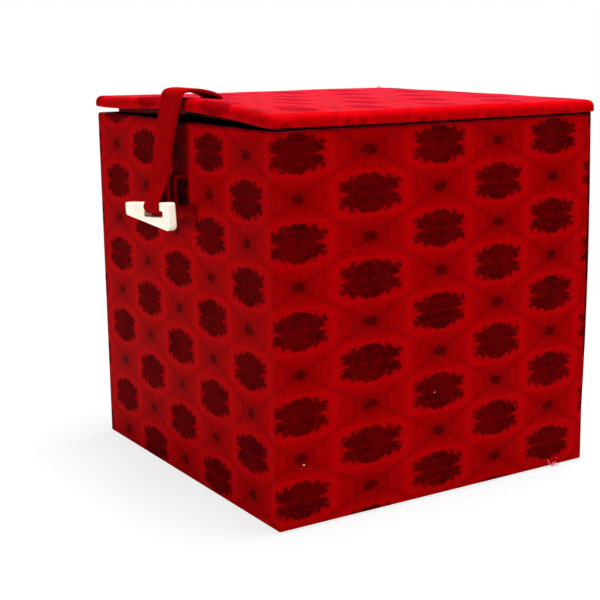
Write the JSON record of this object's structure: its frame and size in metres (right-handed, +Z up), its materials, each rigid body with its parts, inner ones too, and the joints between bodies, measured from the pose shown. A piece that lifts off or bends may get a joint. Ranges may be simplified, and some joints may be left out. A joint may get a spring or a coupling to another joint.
{
  "type": "brocade keepsake box",
  "caption": "Cube-shaped card box covered in brocade, with a padded lid on a cloth hinge and a cloth strap whose wedge toggle slides through a keeper loop.",
  "frame": {"origin": "middle of the box's underside, on the surface that it stands on", "axes": "+Z up; the strap, toggle and keeper loop are on the -Y side; the lid is hinged along the +Y side"},
  "size_m": [0.1266, 0.1349, 0.1308],
  "materials": {
    "greyboard": "raw pressed board",
    "brocade": "woven red brocade with darker ornament",
    "base_cloth": "plain matt cloth",
    "satin": "wine-red satin",
    "wadding": "soft fibre",
    "strap_cloth": "plain woven cloth",
    "bone": "polished imitation bone"
  },
  "bodies": {
    "box": {"base_board": "greyboard", "front_board": "greyboard", "back_board": "greyboard", "left_board": "greyboard", "right_board": "greyboard", "side_wrap": "brocade", "back_cloth": "brocade", "base_cover": "base_cloth", "floor_lining": "satin", "front_lining": "satin", "back_lining": "satin", "left_lining": "satin", "right_lining": "satin", "keeper_loop": "strap_cloth"},
    "lid": {"lid_board": "greyboard", "lid_padding": "wadding", "lid_brocade": "brocade", "lid_lining": "satin", "strap_anchor": "strap_cloth"},
    "strap": {"strap_band": "strap_cloth"},
    "toggle": {"toggle": "bone"}
  },
  "joints": [
    {"name": "lid_hinge", "type": "hinge", "parent": "box", "child": "lid", "pos_m": [0, 0.06305, 0.12047], "axis": [-1, 0, 0], "range_deg": [0, 180]},
    {"name": "strap_bend", "type": "hinge", "parent": "lid", "child": "strap", "pos_m": [0.0024, -0.06265, 0.1295], "axis": [-1, 0, 0], "range_deg": [-2, 90]},
    {"name": "toggle_swing", "type": "hinge", "parent": "strap", "child": "toggle", "pos_m": [0.0024, -0.06967, 0.09338], "axis": [-0.9954, 0, -0.0958], "range_deg": [-30, 75]}
  ]
}
